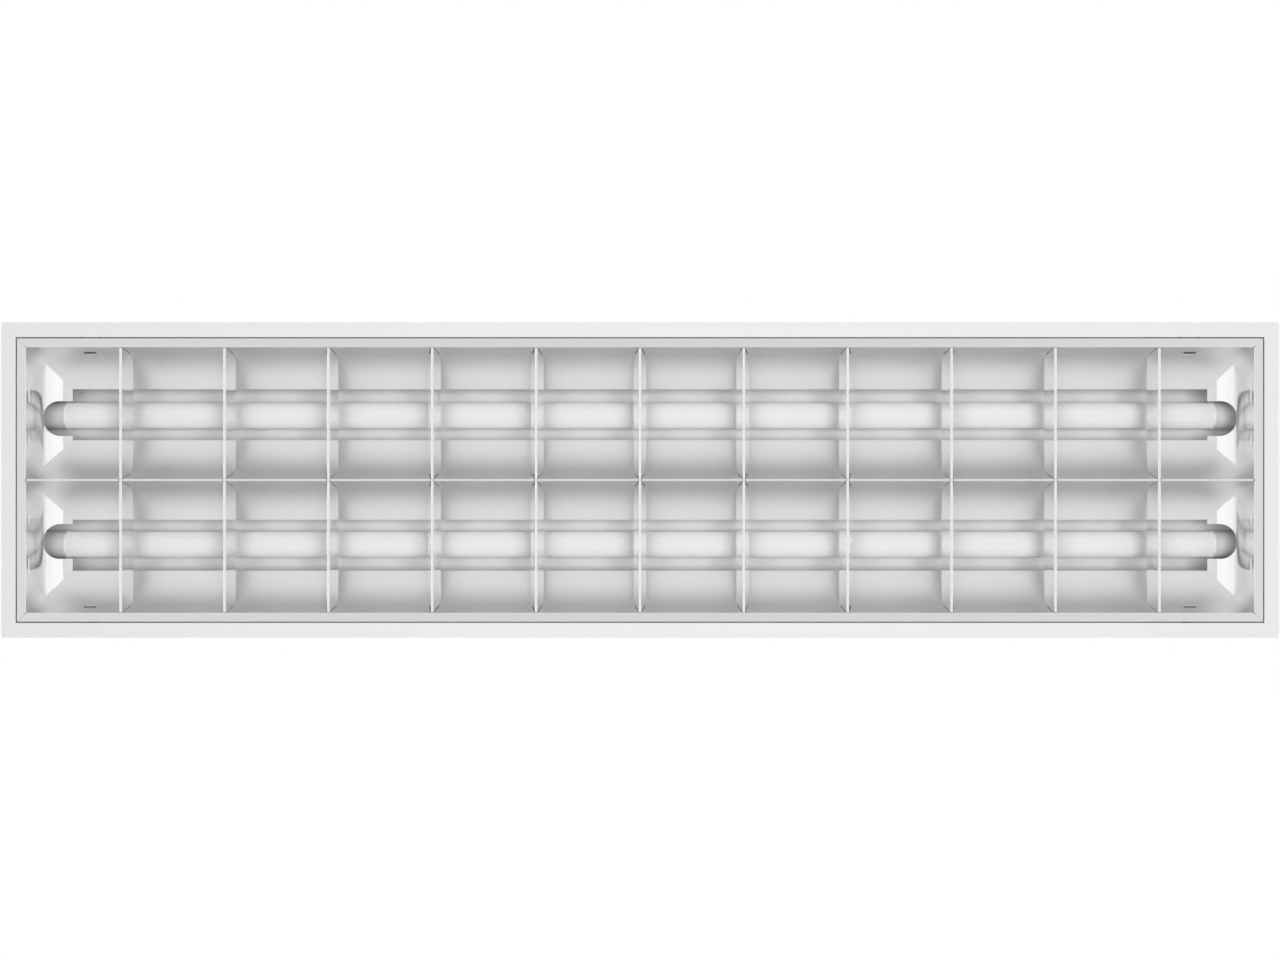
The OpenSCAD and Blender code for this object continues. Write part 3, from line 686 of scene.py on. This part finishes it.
class LIGHT_OT_tray(PieceOperator, bpy.types.Operator):
    """Folds the white steel tray with its rim and punches its holes"""
    bl_idname = "louvre_light.tray"
    bl_label = "Tray"

    def execute(self, context):
        s = context.scene.tray_sizes
        tray = add_box("tray_shell", TRAY_LO, TRAY_HI)
        round_uprights(tray, s.corner_r)
        pick_edges(tray, lambda a, b: max(a.z, b.z) < TRAY_LO.z + NEAR)
        bpy.ops.mesh.bevel(offset=s.fold_r, segments=4, affect="EDGES")
        leave_edit()
        rim, wall = Vector((s.rim_w, s.rim_w, 0)), Vector((s.sheet, s.sheet, 0))
        rise = Vector((0, 0, s.sheet))
        cut(tray, add_box("opening", TRAY_LO + rim - rise, TRAY_HI - rim - 2 * rise))
        inside = add_box("inside", TRAY_LO + wall + 2 * rise, TRAY_HI - wall - rise)
        round_uprights(inside, s.corner_r - s.sheet)
        cut(tray, inside)
        holes = [(x, y, s.hole_d) for x in (-s.hole_x / 2, s.hole_x / 2)
                 for y in (-s.hole_y / 2, s.hole_y / 2)]
        screws = (("cover_screws", 6, 3), ("block_screws", 4.6, 2.6), ("earth_screw", 6, 3.4))
        for node, head_mm, hole_mm in screws:
            holes += [(x, y, hole_mm * MM) for x, y in screw_places(node, head_mm * MM / 2)]
        lo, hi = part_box("cable_bush")
        holes.append(((lo.x + hi.x) / 2, 0, s.entry_d))
        reach = 3 * MM
        drills = [add_rod("drill", (x, y, -reach), (x, y, reach), width / 2) for x, y, width in holes]
        cut(tray, join("drills", drills))
        score = 0.4 * s.sheet
        knock_r = s.knock_d / 2
        middle_z = (TRAY_LO.z + TRAY_HI.z) / 2
        for way in (-1, 1):
            inner, outer = way * (TRAY_HI.x - score), way * (TRAY_HI.x + score)
            ring = add_rod("knock_out", (inner, 0, middle_z), (outer, 0, middle_z), knock_r + s.knock_line)
            core = add_rod("core", (inner - way * MM, 0, middle_z), (outer + way * MM, 0, middle_z), knock_r)
            cut(ring, core)
            cut(tray, ring)
        smooth(tray)
        use_modifier(tray, "WEIGHTED_NORMAL", keep_sharp=True)
        hand_over(tray, "housing", ["tray"], self.finish("white_steel"))
        return {"FINISHED"}


def screw_places(node, head_r):
    """The places (x, y) of a node's screws, which stand at the corners of its box."""
    lo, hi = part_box(node)
    ways = [(a + head_r, b - head_r) if b - a > 3 * head_r else ((a + b) / 2,)
            for a, b in ((lo.x, hi.x), (lo.y, hi.y))]
    return [(x, y) for x in ways[0] for y in ways[1]]


class LIGHT_OT_side_reflectors(PieceOperator, bpy.types.Operator):
    """Folds the two long reflectors with their frame strips, slits and windows"""
    bl_idname = "louvre_light.side_reflectors"
    bl_label = "Side reflectors"

    def execute(self, context):
        s = context.scene.louvre_sizes
        edge_y = -OUT_W / 2
        fold_y = edge_y + s.strip_w
        in_x = OUT_L / 2 - s.strip_w - s.mitre_gap
        mitred = 30 * MM
        slit_deep = 40 * MM
        window_deep = 20 * MM
        rows = side_curve(s).points(s.steps, s.fold_r)
        points = [Vector((-OUT_L / 2, edge_y, FACE_Z))]
        points += [Vector((-OUT_L / 2, fold_y + u, FACE_Z + v)) for u, v in rows]
        places = [-OUT_L / 2] + stations(-in_x, in_x, COLUMN) + [OUT_L / 2]
        sheet = chain("side_reflector_sheet", points)
        run_out(sheet, steps_between(places, (1, 0, 0)))
        strip_y = fold_y - s.fold_r + NEAR
        pick_faces(sheet, lambda at, normal: at.y > strip_y and abs(at.x) > in_x)
        bpy.ops.mesh.delete(type="FACE")
        leave_edit()
        for way in (-1, 1):
            pick_faces(sheet, lambda at, normal: at.y < strip_y and way * at.x > in_x - mitred)
            bpy.ops.mesh.bisect(plane_co=(way * (OUT_L / 2 - s.mitre_gap), edge_y, FACE_Z),
                                plane_no=(way, 1, 0), clear_outer=True)
            leave_edit()
        face_out(sheet, (0, 1, -1))
        use_modifier(sheet, "SOLIDIFY", thickness=s.sheet, offset=-1, use_even_offset=True)
        cut(sheet, blade_slits(s, "slits", edge_y, edge_y + slit_deep, s.tab_low - s.slit_gap,
                               s.lap + s.slit_gap, True))
        windows = []
        for way in (-1, 1):
            x = way * (OUT_L / 2 - s.strip_w - s.window_x)
            low = FACE_Z + s.window_low
            windows.append(add_box("window", (x - s.window_w / 2, edge_y, low),
                                   (x + s.window_w / 2, edge_y + window_deep, low + s.window_h)))
        cut(sheet, join("windows", windows))
        smooth(sheet)
        other = twin(sheet, "side_reflector_clip_sheet", flip=(1, -1, 1))
        sheet.name = "side_reflector_hinge_sheet"
        finish = self.finish("satin_aluminium")
        hand_over(sheet, "louvre", ["side_reflector_hinge"], finish)
        hand_over(other, "louvre", ["side_reflector_clip"], finish)
        return {"FINISHED"}


class LIGHT_OT_centre_reflector(PieceOperator, bpy.types.Operator):
    """Folds the centre reflector and slits it for the blades"""
    bl_idname = "louvre_light.centre_reflector"
    bl_label = "Centre reflector"

    def execute(self, context):
        s = context.scene.louvre_sizes
        in_x = OUT_L / 2 - s.strip_w - s.mitre_gap
        half = [(s.ridge_w / 2 + u, v) for u, v in centre_curve(s).points(s.steps, s.ridge_w / 2)]
        across = [(-u, v) for u, v in reversed(half[1:])] + half
        sheet = chain("centre_reflector_sheet", [Vector((-in_x, u, FACE_Z + v)) for u, v in across])
        run_out(sheet, steps_between(stations(-in_x, in_x, COLUMN), (1, 0, 0)))
        face_out(sheet, (0, 0, -1))
        use_modifier(sheet, "SOLIDIFY", thickness=s.sheet, offset=-1, use_even_offset=True)
        cut(sheet, blade_slits(s, "slits", -s.centre_run, s.centre_run, 0, s.lap + s.slit_gap, False))
        smooth(sheet)
        hand_over(sheet, "louvre", ["centre_reflector"], self.finish("satin_aluminium"))
        return {"FINISHED"}


class LIGHT_OT_end_reflectors(PieceOperator, bpy.types.Operator):
    """Folds the two end reflectors, one bowed face to a bay, with their tube notches"""
    bl_idname = "louvre_light.end_reflectors"
    bl_label = "End reflectors"

    def execute(self, context):
        s = context.scene.louvre_sizes
        fold_x = OUT_L / 2 - s.strip_w
        in_y = OUT_W / 2 - s.strip_w
        seam = 0.1 * MM
        column_n = 20
        curve, side, centre = end_curve(s), side_curve(s), centre_curve(s)
        columns = stations(0, 1, 1 / column_n)
        rows = curve.points(s.steps, s.fold_r)
        faces = []
        for way in (1, -1):
            # A face is drawn 1 m wide, and each row is then stretched between the reflectors
            points = [Vector((fold_x - u, 0, FACE_Z + v)) for u, v in rows]
            face = chain("end_face", points)
            run_out(face, steps_between(columns, (0, 1, 0)))
            for u, v in rows:
                y_lo = s.ridge_w / 2 + centre.u(v, seam)
                y_hi = in_y - side.u(v, seam)
                pick_verts(face, lambda co: abs(co.x - fold_x + u) + abs(co.z - FACE_Z - v) < NEAR)
                bpy.ops.transform.resize(value=(1, y_hi - y_lo, 1), center_override=(0, 0, 0))
                bpy.ops.transform.translate(value=(0, y_lo, 0))
                leave_edit()
            if way < 0:
                face = mirror_across(face)
            faces.append(face)
        inner_x, inner_y = fold_x + s.fold_r, in_y + s.fold_r
        strip = chain("end_strip", [Vector((OUT_L / 2, -OUT_W / 2, FACE_Z)),
                                    Vector((inner_x, -inner_y, FACE_Z))])
        run_out(strip, [Vector((0, 2 * inner_y, 0))])
        pick_verts(strip, lambda co: co.x > inner_x + MM and co.y > -OUT_W / 2 + MM)
        bpy.ops.transform.translate(value=(0, OUT_W - 2 * inner_y, 0))
        leave_edit()
        for face in faces:
            face_out(face, (-1, 0, -1))
            use_modifier(face, "SOLIDIFY", thickness=s.sheet, offset=-1, use_even_offset=True)
        face_out(strip, (0, 0, -1))
        use_modifier(strip, "SOLIDIFY", thickness=s.sheet, offset=-1)
        slope = curve.slope(s.notch_up)
        square_to = Vector((math.cos(slope), 0, math.sin(slope)))
        up_along = Vector((-math.sin(slope), 0, math.cos(slope)))
        for face, way in zip(faces, (1, -1)):
            middle = Vector((fold_x - curve.u(s.notch_up), way * (LAMP_Y - s.notch_in), FACE_Z + s.notch_up))
            reach = square_to * s.notch_w / 2
            notch = add_rod("notch", middle - reach, middle + reach, s.notch_w / 2, 96)
            # The notch is open at its top, so the upper half of the rod's side is drawn out
            pick_faces(notch, lambda at, normal: normal.dot(up_along) > 0.05
                       and abs(normal.dot(square_to)) < 0.1)
            bpy.ops.mesh.extrude_region_move(TRANSFORM_OT_translate={"value": up_along * s.end_run})
            leave_edit()
            cut(face, notch)
        sheet = join("end_reflector_b_sheet", [strip] + faces)
        smooth(sheet)
        other = twin(sheet, "end_reflector_a_sheet", flip=(-1, 1, 1))
        finish = self.finish("mirror_aluminium")
        hand_over(sheet, "louvre", ["end_reflector_b"], finish)
        hand_over(other, "louvre", ["end_reflector_a"], finish)
        for piece in (sheet, other):
            second_finish(piece, self.finish("satin_aluminium"), lambda at, normal: abs(at.x) > inner_x)
        return {"FINISHED"}


class LIGHT_OT_blades(PieceOperator, bpy.types.Operator):
    """Folds one cross blade and copies it to every place"""
    bl_idname = "louvre_light.blades"
    bl_label = "Cross blades"

    def execute(self, context):
        s = context.scene.louvre_sizes
        in_y = OUT_W / 2 - s.strip_w
        top = BLADE_HI.z - FACE_Z
        side, centre = side_curve(s), centre_curve(s)
        outline = blade_outline(s, top)
        column_n = 50
        columns = stations(-1, 1, 2 / column_n)
        # The blade is drawn from -1 to 1 m, and each row is then drawn in to the reflectors
        blade = chain("blade_sheet", [Vector((u, -1, FACE_Z + v)) for u, v in outline])
        run_out(blade, steps_between(columns, (0, 1, 0)))
        heights = sorted({round(v, 7) for u, v in outline})
        for v in heights:
            reach = in_y - side.u(max(v, 0), s.slit_gap)
            pick_verts(blade, lambda co: abs(co.z - FACE_Z - v) < SAME)
            bpy.ops.transform.resize(value=(1, reach, 1), center_override=(0, 0, 0))
            leave_edit()

        def on_tab(co, way):
            """Whether a vertex is at one end of the blade, within the height of its tab."""
            end_y = in_y - side.u(max(co.z - FACE_Z, 0), s.slit_gap)
            return s.tab_low < co.z - FACE_Z < s.lap and way * co.y > end_y - NEAR

        for way in (-1, 1):
            pick_edges(blade, lambda a, b: on_tab(a, way) and on_tab(b, way))
            bpy.ops.mesh.extrude_region_move(
                TRANSFORM_OT_translate={"value": (0, way * (s.sheet + s.tab_out), 0)})
            leave_edit()
        face_out(blade, (0, 0, -1))
        use_modifier(blade, "SOLIDIFY", thickness=s.sheet, offset=-1, use_even_offset=True)
        half = [(s.ridge_w / 2 + centre.u(v, s.slit_gap), v) for v in stations(s.lap, top + MM, MM)]
        section = [(-u, v) for u, v in reversed(half)] + half
        notch = chain("lap_notch", [Vector((-BLADE_ROOM, u, FACE_Z + v)) for u, v in section])
        pick_verts(notch, lambda co: True)
        bpy.ops.mesh.edge_face_add()
        bpy.ops.mesh.extrude_region_move(TRANSFORM_OT_translate={"value": (2 * BLADE_ROOM, 0, 0)})
        bpy.ops.mesh.select_all(action="SELECT")
        bpy.ops.mesh.normals_make_consistent(inside=False)
        leave_edit()
        cut(blade, notch)
        smooth(blade)
        finish = self.finish("mirror_aluminium")
        inward = -1e-8
        for node in BLADE_NODES:
            lo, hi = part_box(node)
            x = (lo.x + hi.x) / 2
            piece = twin(blade, node + "_sheet", move=(x, 0, 0))
            hand_over(piece, "louvre", [node], finish)
            # The inner sides look at each other across the blade's middle
            second_finish(piece, self.finish("sheet_back"),
                          lambda at, normal: (at.x - x) * normal.x < inward)
        only(blade)
        bpy.ops.object.delete()
        return {"FINISHED"}


class LIGHT_OT_tubes(PieceOperator, bpy.types.Operator):
    """Dresses both tubes with their caps, pins, boards and rotors"""
    bl_idname = "louvre_light.tubes"
    bl_label = "Tubes"

    def execute(self, context):
        parts = (("glass", 0, "frosted_glass"), ("cap_a", 0.25, "cap_plastic"),
                 ("cap_b", 0.25, "cap_plastic"), ("pins", 0, "brass"), ("led_board", 0.1, "led_board"),
                 ("rotor_a", 0.3, "white_plastic"), ("rotor_b", 0.3, "white_plastic"))
        # Width of the painted highlight, a white band at each cap's mouth
        highlight_w = 1.2 * MM
        highlight_x = LAMP_HI.x + highlight_w
        for i in (1, 2):
            body = f"tube_{i}"
            for part, bevel, slot in parts:
                piece = dressed(f"{body}_{part}", bevel, body, self.finish(slot))
                if slot == "cap_plastic":
                    # The last band of the cap's mouth is painted white, a painted highlight that shows as a
                    # bright ring
                    pick_verts(piece, lambda co: True)
                    bpy.ops.mesh.bisect(plane_co=(highlight_x if part == "cap_b" else -highlight_x, 0, 0),
                                        plane_no=(1, 0, 0))
                    leave_edit()
                    second_finish(piece, self.finish("cap_painted_highlight"), lambda at, normal: abs(at.x) < highlight_x)
        return {"FINISHED"}


class LIGHT_OT_lampholders(PieceOperator, bpy.types.Operator):
    """Dresses the four rotary lampholders and their contacts"""
    bl_idname = "louvre_light.lampholders"
    bl_label = "Lampholders"

    def execute(self, context):
        for node in ("lampholder_a1", "lampholder_a2", "lampholder_b1", "lampholder_b2"):
            dressed(node, 0.6, "housing", self.finish("white_plastic"), 3)
        dressed("holder_contacts", 0.08, "housing", self.finish("brass"))
        return {"FINISHED"}


class LIGHT_OT_fixings(PieceOperator, bpy.types.Operator):
    """Dresses the hinges and the spring clips"""
    bl_idname = "louvre_light.fixings"
    bl_label = "Hinges and clips"

    def execute(self, context):
        for side in ("left", "right"):
            dressed(f"hinge_bracket_{side}", 0.15, "housing", self.finish("plated_steel"))
            dressed(f"spring_clip_{side}", 0.08, "housing", self.finish("spring_steel"))
        dressed("hinge_pins", 0.2, "housing", self.finish("plated_steel"))
        dressed("hinge_leaves", 0.1, "louvre", self.finish("plated_steel"))
        dressed("corner_plates", 0.1, "louvre", self.finish("plated_steel"))
        return {"FINISHED"}


class LIGHT_OT_wiring(PieceOperator, bpy.types.Operator):
    """Dresses the wiring cover and everything under it"""
    bl_idname = "louvre_light.wiring"
    bl_label = "Wiring"

    def execute(self, context):
        pieces = (("wiring_cover", 0.3, "white_steel"), ("cover_screws", 0.12, "plated_steel"),
                  ("terminal_block", 0.3, "cream_plastic"), ("terminal_sleeves", 0.1, "brass"),
                  ("terminal_screws", 0.1, "plated_steel"), ("block_screws", 0.1, "plated_steel"),
                  ("cable_bush", 0.3, "rubber"), ("earth_screw", 0.12, "plated_steel"),
                  ("earth_lug", 0.1, "brass"), ("wire_combs", 0.3, "cream_plastic"),
                  ("lead_live_1", 0, "brown_lead"), ("lead_live_2", 0, "brown_lead"),
                  ("lead_neutral_1", 0, "blue_lead"), ("lead_neutral_2", 0, "blue_lead"),
                  ("lead_earth", 0, "green_lead"))
        for node, bevel, slot in pieces:
            dressed(node, bevel, "housing", self.finish(slot))
        return {"FINISHED"}


# Strength of the surround on matt surfaces; the rest of their light comes from the lamps
AMBIENT = 0.3
# What the side boxes add to the light on the floor
FLOOR_SPILL = 0.235


def seen_directly(tree):
    """1 for the camera and for what metal and glass show, 0 for the light on matt surfaces."""
    rays = add_node(tree, "ShaderNodeLightPath")
    seen = rays.outputs["Is Camera Ray"]
    for kind in ("Is Glossy Ray", "Is Transmission Ray"):
        either = add_node(tree, "ShaderNodeMath", {"operation": "MAXIMUM"})
        tree.links.new(seen, either.inputs[0])
        tree.links.new(rays.outputs[kind], either.inputs[1])
        seen = either.outputs["Value"]
    return seen


def add_lamp(name, place, target, size, power):
    """A soft box that faces a point; it lights the matt surfaces alone and doesn't show itself."""
    away = Vector(place) - Vector(target)
    deselect()
    bpy.ops.object.light_add(type="AREA", location=place, rotation=away.to_track_quat("Z", "Y").to_euler())
    lamp = bpy.context.object
    lamp.name = name
    lamp.data.shape = "RECTANGLE"
    lamp.data.size, lamp.data.size_y = size
    lamp.data.energy = power
    lamp.visible_camera = False
    lamp.visible_glossy = False


class LIGHT_OT_stage(PieceOperator, bpy.types.Operator):
    """Sets the camera below the light, the pale floor, the lamps and the white surround"""
    bl_idname = "louvre_light.stage"
    bl_label = "Stage"

    def execute(self, context):
        scene = context.scene
        camera_far = 1.6
        frame_w = 1.236
        floor_z = -2.9
        lamp_z = -2.3
        floor_r = 1.8
        box_x = 0.5
        box_size = (0.84, 0.5)
        side_far = 2.2
        side_up = 0.5
        side_size = (1.6, 0.8)
        deselect()
        bpy.ops.object.camera_add(location=(0, 0, TRAY_LO.z - camera_far), rotation=(math.pi, 0, 0))
        camera = context.object
        camera.data.sensor_width = 36
        camera.data.lens = camera.data.sensor_width * camera_far / frame_w
        camera.data.dof.use_dof = False
        scene.camera = camera
        deselect()
        bpy.ops.mesh.primitive_circle_add(vertices=96, radius=floor_r, fill_type="NGON",
                                          location=(0, 0, floor_z))
        floor = context.object
        floor.name = "pale_floor"
        pale = linear("#D9D9D9")
        floor_mat, tree, shader, place = new_material("pale_floor_paint", pale, 0.0, 0.8)
        soft = add_node(tree, "ShaderNodeTexNoise", Vector=place, Scale=per_mm(400))
        tree.links.new(vary(tree, soft.outputs["Fac"], 0.75, 0.85), shader.inputs["Roughness"])
        shader.inputs["Emission Color"].default_value = pale
        tree.links.new(vary(tree, seen_directly(tree), 0.0, 1 - AMBIENT - FLOOR_SPILL),
                       shader.inputs["Emission Strength"])
        floor.data.materials.append(floor_mat)
        # The photo is brighter on its right, so the right box is the stronger one
        add_lamp("soft_box_left", (-box_x, 0, lamp_z), (-box_x, 0, 0), box_size, 14.2)
        add_lamp("soft_box_right", (box_x, 0, lamp_z), (box_x, 0, 0), box_size, 22)
        for i in range(4):
            a = math.pi / 2 * i
            place = (side_far * math.cos(a), side_far * math.sin(a), side_up)
            add_lamp(f"side_box_{i + 1}", place, (0, 0, 0), side_size, 22)
        world = bpy.data.worlds.new("white_surround")
        scene.world = world
        world.use_nodes = True
        tree = world.node_tree
        tree.nodes.clear()
        strength = vary(tree, seen_directly(tree), AMBIENT, 1.0)
        glow = add_node(tree, "ShaderNodeBackground", Color=(1, 1, 1, 1), Strength=strength)
        out = add_node(tree, "ShaderNodeOutputWorld")
        tree.links.new(glow.outputs["Background"], out.inputs["Surface"])
        scene.view_settings.view_transform = "Standard"
        return {"FINISHED"}


class LIGHT_PT_panel(bpy.types.Panel):
    """Sidebar panel that lists the pieces in the order they are made"""
    bl_label = "Louvre Light"
    bl_idname = "LIGHT_PT_panel"
    bl_space_type = "VIEW_3D"
    bl_region_type = "UI"
    bl_category = "Louvre Light"

    def draw(self, context):
        for operator in OPERATORS:
            self.layout.operator(operator.bl_idname)


OPERATORS = (LIGHT_OT_stage, LIGHT_OT_tray, LIGHT_OT_side_reflectors, LIGHT_OT_centre_reflector,
             LIGHT_OT_end_reflectors, LIGHT_OT_blades, LIGHT_OT_tubes, LIGHT_OT_lampholders,
             LIGHT_OT_fixings, LIGHT_OT_wiring)
GROUPS = (LouvreSizes, TraySizes, FinishColours)


def register():
    for cls in (*GROUPS, *OPERATORS, LIGHT_PT_panel):
        bpy.utils.register_class(cls)
    bpy.types.Scene.louvre_sizes = bpy.props.PointerProperty(type=LouvreSizes)
    bpy.types.Scene.tray_sizes = bpy.props.PointerProperty(type=TraySizes)
    bpy.types.Scene.light_colours = bpy.props.PointerProperty(type=FinishColours)


def unregister():
    del bpy.types.Scene.light_colours
    del bpy.types.Scene.tray_sizes
    del bpy.types.Scene.louvre_sizes
    for cls in reversed((*GROUPS, *OPERATORS, LIGHT_PT_panel)):
        bpy.utils.unregister_class(cls)


def main():
    register()
    bpy.ops.louvre_light.stage()
    bpy.ops.louvre_light.tray()
    bpy.ops.louvre_light.side_reflectors()
    bpy.ops.louvre_light.centre_reflector()
    bpy.ops.louvre_light.end_reflectors()
    bpy.ops.louvre_light.blades()
    bpy.ops.louvre_light.tubes()
    bpy.ops.louvre_light.lampholders()
    bpy.ops.louvre_light.fixings()
    bpy.ops.louvre_light.wiring()


if __name__ == "__main__":
    main()
